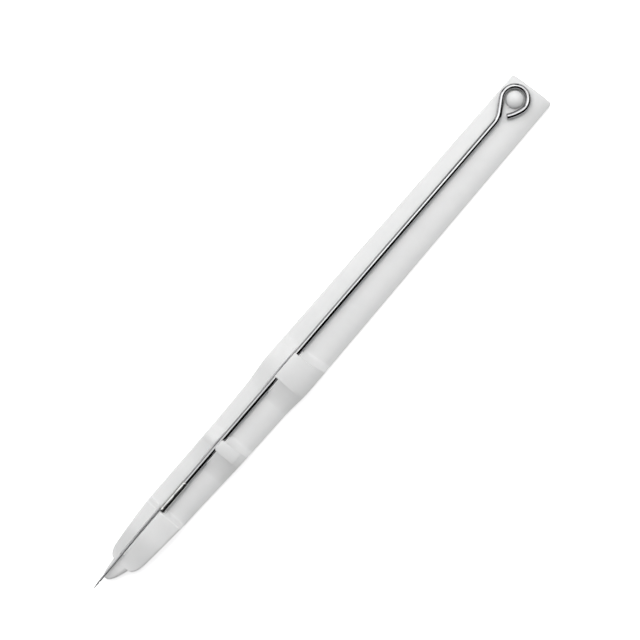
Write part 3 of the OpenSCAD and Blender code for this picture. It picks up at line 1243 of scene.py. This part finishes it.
@dataclass
class Peg(HolderPart):
    """The domed peg that the finger eye hooks over, with a small root fillet."""

    x: float = 70.0
    peg_r: float = 1.95
    top_z: float = 5.0
    dome_h: float = 1.1
    brow_r: float = 0.15
    root_r: float = 0.22
    foot_z: float = 2.1
    foot_cut: float = 0.1
    dimple_r: float = 0.9
    dimple_h: float = 0.5
    centre_r: float = 0.02
    sides: int = 72

    def build(self) -> Piece:
        """Build and dress the peg.

        Returns:
            The piece.
        """
        floor, foot_z, r, cut_by = self.form.floor_h - 0.03, self.foot_z, self.peg_r, self.foot_cut
        dimple_z, foot = foot_z + self.dimple_h, r + self.root_r
        profile = [
            (dimple_z, self.centre_r), (dimple_z, self.dimple_r - cut_by),
            (dimple_z - cut_by, self.dimple_r),
            (foot_z, self.dimple_r + cut_by / 2), (foot_z, r - cut_by), (foot_z + cut_by, r),
            (floor - 0.1, r), (floor - 0.02, foot),
        ]
        for t in map(math.radians, steps(90, 0, 6)[:-1]):
            profile.append((floor + self.root_r * (1 - math.sin(t)), foot - self.root_r * math.cos(t)))
        profile += [(floor + self.root_r, r), (self.top_z - self.dome_h - self.brow_r, r)]
        dome_r = (r**2 + self.dome_h**2) / (2 * self.dome_h)
        half_a = math.asin(r / dome_r)
        for a in [half_a * t for t in steps(1.0, 0.02, 22)]:
            at = dome_r * math.sin(a)
            soften = rounded(r - at, self.brow_r) * 0.6
            profile.append((self.top_z - dome_r * (1 - math.cos(a)) - soften, at))
        shape = turned(profile, lambda s, p, q: (self.x + p, self.form.wire_y + q, s), self.sides)
        piece = shape.piece("domed_peg")
        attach(piece, Body.HOLDER.value)
        return dress(piece, self.finish, Slot.MOULDING, "eye_peg")


@dataclass(kw_only=True)
class Clip(HolderPart):
    """A springy clip that reaches over the rod and bends at its root."""

    name: str
    node: str
    body: Body
    hump: Hump
    reach_y: float
    corner_r: float = 0.0
    root_y: float = -3.7
    bend_end_y: float = -2.7
    hinge_z: float = 5.118
    free_from_y: float = 0.35
    tuck: float = 0.15
    sink: float = 0.03

    def reach(self, x: float) -> float:
        """Return how far the clip reaches across at x, with its corners rounded."""
        return self.reach_y - rounded(min(x - self.hump.front, self.hump.back - x), self.corner_r)

    def build(self) -> Piece:
        """Build and dress the clip.

        Returns:
            The piece.
        """
        form, a, b, r = self.form, self.hump.front, self.hump.back, self.edge_r
        ends = [s * r for s in EDGE_STEPS] + [s * max(self.corner_r, r) for s in steps(0, 1, 6)]
        stations = ordered([a + d for d in ends] + [b - d for d in ends] + steps(a + r, b - r, 12))
        fixed = [self.root_y - self.tuck, self.root_y - 0.01]
        fixed += [*steps(self.root_y, self.bend_end_y + 0.1, 12), -2.2, -1.6, -1.0, -0.4, 0.1]
        outer: list[list[Point]] = []
        inner: list[list[Point]] = []
        for x in stations:
            end = self.reach(x)
            columns = fixed + steps(self.free_from_y, end - r, 5)[:-1]
            columns += [end - s * r for s in reversed(EDGE_STEPS)]
            top_row: list[Point] = []
            under_row: list[Point] = []
            for y in reversed(columns):
                free = smooth(y, self.free_from_y, form.way_right)
                d = min(x - a, b - x) if free > 0 else r
                gone = max(rounded(d, r) * free, rounded(end - y, r))
                if y < self.root_y:
                    gone = self.sink
                crown = math.sqrt(form.crown_r**2 - y * y) - form.crown_r
                under = math.sqrt((form.crown_r - form.wall) ** 2 - y * y) - form.crown_r
                dome = form.dome(x, min(y, form.way_right))
                top_row.append((x, y, form.clip_h(y) + crown - dome - gone))
                under_row.append((x, y, form.clip_h(y) + under + gone))
            outer.append(top_row)
            inner.append(under_row)
        piece = walled(outer, inner, lambda i, j: False, False, False).piece(self.name)
        dress(piece, self.finish, Slot.MOULDING, self.node)
        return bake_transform(piece)


@dataclass
class Holder:
    """The white holder, in one moulding."""

    form: HolderForm = field(default_factory=HolderForm)
    finish: Finish = field(default_factory=WhiteMoulding)

    def build(self) -> list[Piece]:
        """Build all the pieces of the moulding.

        Returns:
            The pieces.
        """
        form, finish = self.form, self.finish
        middle = Clip(
            form, finish, name="middle_clip_moulding", node="middle_clip", body=Body.MIDDLE_CLIP,
            hump=form.middle, reach_y=1.85,
        )
        lower = Clip(
            form, finish, name="lower_clip_moulding", node="lower_clip", body=Body.LOWER_CLIP,
            hump=form.lower, reach_y=1.45, corner_r=0.7,
        )
        parts = [LongStrip(form, finish), NoseGuard(form, finish), Tongue(form, finish), Peg(form, finish)]
        return [part.build() for part in [*parts, middle, lower]]


# ------------------------------------------------------------------ the threader


@dataclass
class Threader:
    """The steel threader: rod and finger eye, sleeve, and hooked needle."""

    rod_r: float = 0.7
    rod_x: float = -47.1
    wire_y: float = 1.45
    wire_z: float = 3.73
    eye_x: float = 70.0
    eye_r: float = 3.0
    neck_a: float = 32.0
    neck_r: float = 5.0
    tail_from: float = 18.0
    tail_to: float = 37.5
    tail_r: float = 10.7
    sleeve_x: float = -51.9
    sleeve_l: float = 8.4
    sleeve_r: float = 0.85
    grooves: tuple[float, ...] = (0.9, 4.6, 7.6)
    groove_depth: float = 0.022
    needle_r: float = 0.25
    needle_in: float = 2.0
    needle_y: float = 0.5
    bow_r: float = 900.0
    point_l: float = 2.6
    point_power: float = 1.4
    tip_x: float = -75.0
    tip_r: float = 0.04
    hook_at: float = 1.9
    hook_left: float = 0.06
    hook_w: float = 0.16
    hook_a: float = 40.0
    bright: Finish = field(default_factory=lambda: Steel(
        "polished_spring_steel", (0.35, 0.35, 0.35), (0.31, 0.31, 0.32), (0.10, 0.18)))
    dull: Finish = field(default_factory=lambda: Steel(
        "dull_sleeve_steel", (0.50, 0.50, 0.49), (0.42, 0.42, 0.41), (0.20, 0.30), pitting=0.3))
    dark: Finish = field(default_factory=lambda: Steel(
        "fine_needle_steel", (0.42, 0.42, 0.43), (0.34, 0.34, 0.35), (0.24, 0.38)))

    def arc(self, cx: float, cy: float, r: float, a: float, b: float, n: int, back: int = 0) -> list[Stop]:
        """Follow an arc.

        Args:
            cx: Its middle along the tool.
            cy: Its middle across the tool.
            r: Its radius.
            a: Angle at which it starts, in degrees.
            b: Angle at which it ends.
            n: Number of stops after the first.
            back: 180 where it is followed clockwise.

        Returns:
            Stops as x, y, heading and the rod's radius.
        """
        turns = [(t, math.radians(t)) for t in steps(a, b, n)]
        return [(cx + r * math.cos(q), cy + r * math.sin(q), t + 90 + back, self.rod_r) for t, q in turns]

    def wire(self) -> Piece:
        """Build the rod, its neck and the finger eye as one bent wire.

        Returns:
            The piece.
        """
        neck, y, r = math.radians(self.neck_a), self.wire_y, self.rod_r
        corner_x = self.eye_x - self.eye_r * math.sin(neck) - self.eye_r * math.cos(neck) / math.tan(neck)
        neck_x = corner_x - self.neck_r * math.tan(neck / 2)
        straight = [(x, y, 0.0, r) for x in steps(self.rod_x, neck_x, 56)]
        bend = self.arc(neck_x, y + self.neck_r, self.neck_r, -90, -90 + self.neck_a, 12)
        eye = self.arc(self.eye_x, y, self.eye_r, 90 + self.neck_a, -90 - self.tail_from, 96, 180)
        tail_q = math.radians(self.tail_from)
        off = self.eye_r - self.tail_r
        tail = self.arc(
            self.eye_x - off * math.sin(tail_q), y - off * math.cos(tail_q),
            self.tail_r, -90 - self.tail_from, -90 - self.tail_to, 14, 180,
        )
        first = [(self.rod_x, y, 0.0, r - 0.1), (self.rod_x + 0.1, y, 0.0, r)]
        *route, (end_x, end_y, heading, _) = [*first, *straight[1:], *bend[1:], *eye, *tail[1:]]
        ahead_x, ahead_y = math.cos(math.radians(heading)), math.sin(math.radians(heading))
        for back, less in ((0.10, 0.0), (0.05, 0.03), (0.0, 0.10)):
            route.append((end_x - back * ahead_x, end_y - back * ahead_y, heading, r - less))
        piece = swept(route, self.wire_z, 40).piece("rod_and_finger_eye", WIRE_EDGE)
        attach(piece, Body.THREADER.value)
        return dress(piece, self.bright, Slot.POLISHED, "rod", "finger_eye")

    def sleeve(self) -> Piece:
        """Build the crimped sleeve, bored for the rod.

        Returns:
            The piece.
        """
        r, length, low = self.sleeve_r, self.sleeve_l, self.sleeve_r - self.groove_depth
        profile = [(0.0, 0.02), (0.0, r - 0.17), (0.03, r - 0.09), (0.09, r - 0.03), (0.18, r)]
        for groove in self.grooves:
            profile += [(groove - 0.28, r), (groove - 0.12, low), (groove + 0.12, low), (groove + 0.28, r)]
        profile += [(length - 0.14, r), (length - 0.06, r - 0.03), (length, r - 0.09)]
        profile += [(length, self.rod_r + 0.01), (length - 0.5, self.rod_r - 0.01), (length - 0.5, 0.02)]
        shape = turned(profile, lambda s, p, q: (self.sleeve_x + s, self.wire_y - p, self.wire_z + q), 48)
        piece = shape.piece("crimped_sleeve")
        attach(piece, Body.THREADER.value)
        return dress(piece, self.dull, Slot.DULL, "ferrule")

    def needle(self) -> Piece:
        """Build the fine needle, with its bow, its point and the thread hook.

        Returns:
            The piece.
        """
        run = self.sleeve_x - self.tip_x - self.point_l
        bow_a = math.asin(run / self.bow_r)
        root_y = self.wire_y + self.needle_y
        point_y = root_y - self.bow_r * (1 - math.cos(bow_a))
        route = [(self.sleeve_x + self.needle_in, root_y, 180.0, self.needle_r)]
        for a in steps(0.0, bow_a, 30):
            x, y = self.sleeve_x - self.bow_r * math.sin(a), root_y - self.bow_r * (1 - math.cos(a))
            route.append((x, y, 180 + math.degrees(a), self.needle_r))
        for t in steps(0.0, 1.0, 20)[1:]:
            x = self.sleeve_x - run - t * self.point_l * math.cos(bow_a)
            y = point_y - t * self.point_l * math.sin(bow_a)
            r = self.needle_r - (self.needle_r - self.tip_r) * t**self.point_power
            route.append((x, y, 180 + math.degrees(bow_a), r))
        piece = swept(route, self.wire_z, 32).piece("hooked_needle", WIRE_EDGE)
        cut(piece, self.hook_cutter(point_y))
        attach(piece, Body.THREADER.value)
        return dress(piece, self.dark, Slot.DARK, "hook_needle")

    def hook_cutter(self, point_y: float) -> Piece:
        """Make the slanted block that cuts the thread hook.

        Args:
            point_y: Where the needle's middle is, across the tool, at its point.

        Returns:
            The block.
        """
        a = math.radians(-self.hook_a)
        half, depth = self.hook_w / 2, 2 * self.needle_r
        x0, y0 = self.tip_x + self.hook_at, point_y - self.hook_left
        points = []
        for z in (self.wire_z - depth, self.wire_z + depth):
            for p, q in ((0.0, -half), (1.0, -half), (1.0, half), (0.0, half)):
                x, y = x0 + p * math.cos(a) - q * math.sin(a), y0 + p * math.sin(a) + q * math.cos(a)
                points.append((x, y, z))
        faces = [(3, 2, 1, 0), (4, 5, 6, 7), (0, 1, 5, 4), (1, 2, 6, 5), (2, 3, 7, 6), (3, 0, 4, 7)]
        return Shape(points, faces).piece("hook_cutter")

    def build(self) -> list[Piece]:
        """Return the pieces of the threader."""
        return [self.wire(), self.sleeve(), self.needle()]


# ------------------------------------------------------------------ the studio


@dataclass
class Studio:
    """White sweep, a tent of lit panels on the left and far sides, and a camera overhead."""

    target: Point = (3.9, 2.40, 3.0)
    turn: float = 49.36
    tilt: float = 2.0
    distance: float = 460.0
    field_w: float = 144.0
    sensor: float = 36.0
    panel_at: float = 500.0
    panel_rise: float = 53.0
    panel_w: float = 281.0
    panel_h: float = 543.0
    panel_bearings: tuple[float, ...] = (0.0, 50.0, 100.0)
    panel_bright: float = 1.9
    world: float = 0.30
    paper_reach: float = 4000.0
    paper_z: float = -0.01
    sees_from: float = 0.01
    sees_to: float = 20.0

    def sweep(self) -> Piece:
        """Lay the white paper under the tool.

        Returns:
            The paper.
        """
        reach, z = self.paper_reach, self.paper_z
        corners = [(-reach, -reach, z), (reach, -reach, z), (reach, reach, z), (-reach, reach, z)]
        paper = Shape(corners, [(0, 1, 2, 3)]).piece("paper_sweep")
        paper.modifiers.clear()
        paper.data.materials.append(PaleFloor().material())
        paper.visible_diffuse = False
        return paper

    def panel(self, number: int, bearing: float) -> bpy.types.Object:
        """Hang one lit white panel that faces the tool.

        Args:
            number: Which of the panels it is.
            bearing: Where it stands, in degrees from +X towards +Y.

        Returns:
            The lamp.
        """
        wide, high = self.panel_w * MM, self.panel_h * MM
        data = bpy.data.lights.new(f"tent_panel_{number}", "AREA")
        data.shape = "RECTANGLE"
        data.size, data.size_y = wide, high
        data.energy = self.panel_bright * math.pi * wide * high
        lamp = bpy.data.objects.new(data.name, data)
        turn, rise = math.radians(bearing), math.radians(self.panel_rise)
        out = Vector((math.cos(turn) * math.cos(rise), math.sin(turn) * math.cos(rise), math.sin(rise)))
        lamp.location = out * self.panel_at * MM
        lamp.rotation_mode = "QUATERNION"
        lamp.rotation_quaternion = out.to_track_quat("Z", "Y")
        bpy.context.scene.collection.objects.link(lamp)
        return lamp

    def light(self) -> None:
        """Stand the lit panels round the left and the far side, and set the sky."""
        for number, bearing in enumerate(self.panel_bearings, 1):
            self.panel(number, bearing)
        sky = bpy.data.worlds.new("soft_white_room")
        sky.use_nodes = True
        background = sky.node_tree.nodes["Background"]
        background.inputs["Color"].default_value = (1.0, 1.0, 1.0, 1.0)
        background.inputs["Strength"].default_value = self.world
        bpy.context.scene.world = sky
        sky.cycles_visibility.glossy = False
        bpy.context.scene.view_settings.view_transform = "Standard"

    def camera(self) -> bpy.types.Object:
        """Place the camera overhead, with the tool's length running up to the right.

        Returns:
            The camera.
        """
        a, t = math.radians(self.turn), math.radians(self.tilt)
        back = Vector((0.0, -math.sin(t), math.cos(t)))
        right = Vector((math.cos(a), -math.sin(a), 0.0))
        right = (right - back * right.dot(back)).normalized()
        up = back.cross(right)
        data = bpy.data.cameras.new("overhead_camera")
        data.sensor_width = self.sensor
        data.lens = self.sensor * self.distance / self.field_w
        data.clip_start, data.clip_end = self.sees_from, self.sees_to
        made = bpy.data.objects.new("overhead_camera", data)
        place = Matrix((right, up, back)).transposed().to_4x4()
        place.translation = (Vector(self.target) + back * self.distance) * MM
        made.matrix_world = place
        bpy.context.scene.collection.objects.link(made)
        bpy.context.scene.camera = made
        return made

    def build(self) -> None:
        """Set up the paper, the lamps and the camera."""
        self.sweep()
        self.light()
        self.camera()


def main() -> None:
    """Build the studio and the two halves of the tool, and log their pieces."""
    logging.basicConfig(level=logging.INFO, format="%(message)s")
    Studio().build()
    LOG.info("studio ready")
    for assembly in (Holder(), Threader()):
        made = assembly.build()
        LOG.info("%s: %s", type(assembly).__name__, ", ".join(p.name for p in made))


if __name__ == "__main__":
    main()
